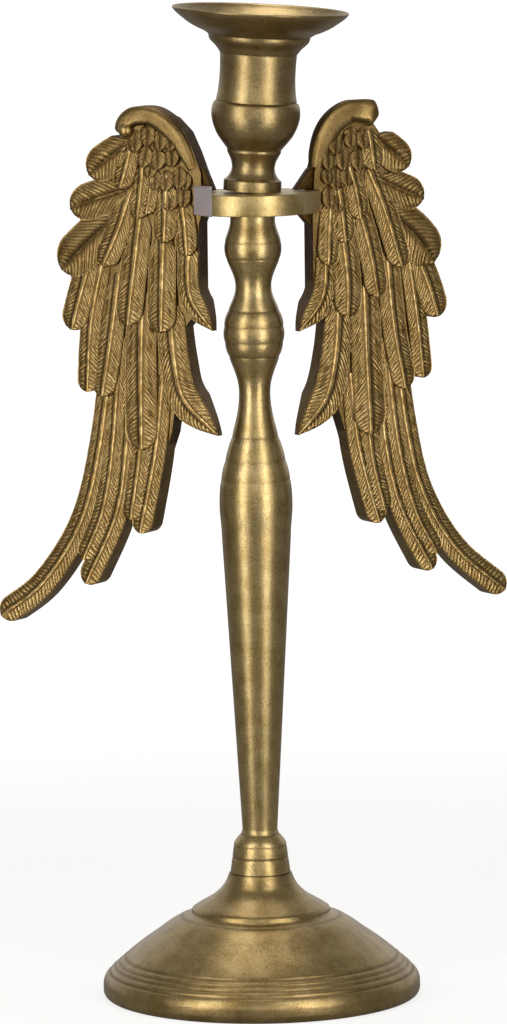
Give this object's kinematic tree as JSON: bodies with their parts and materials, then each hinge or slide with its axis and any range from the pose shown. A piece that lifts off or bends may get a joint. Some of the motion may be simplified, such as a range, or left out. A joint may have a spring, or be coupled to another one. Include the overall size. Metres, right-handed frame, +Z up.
{
  "type": "angel wing candlestick",
  "caption": "Tall cast brass candlestick: domed foot, turned baluster stem, and a candle cup with drip pan above a disc bracket that holds feathered angel wings.",
  "frame": {"origin": "on the ground, at the centre of the foot and of the stem's axis", "axes": "+Z up along the stem, -Y the side that faces the viewer, +X the viewer's right"},
  "size_m": [0.1965, 0.122, 0.3801],
  "materials": {
    "turned_brass": "satin antique patina",
    "bracket_brass": "satin, turned and lightly aged",
    "wing_brass": "sand cast, dark in the hollows",
    "steel": "plain"
  },
  "bodies": {
    "root": {"foot": "turned_brass", "stem": "turned_brass", "candle_cup": "turned_brass", "wing_bracket": "bracket_brass", "wing_left": "wing_brass", "wing_right": "wing_brass", "tie_rod": "steel", "rod_washer": "steel", "rod_nut": "steel", "wing_screw_left": "steel", "wing_screw_right": "steel"}
  },
  "joints": []
}
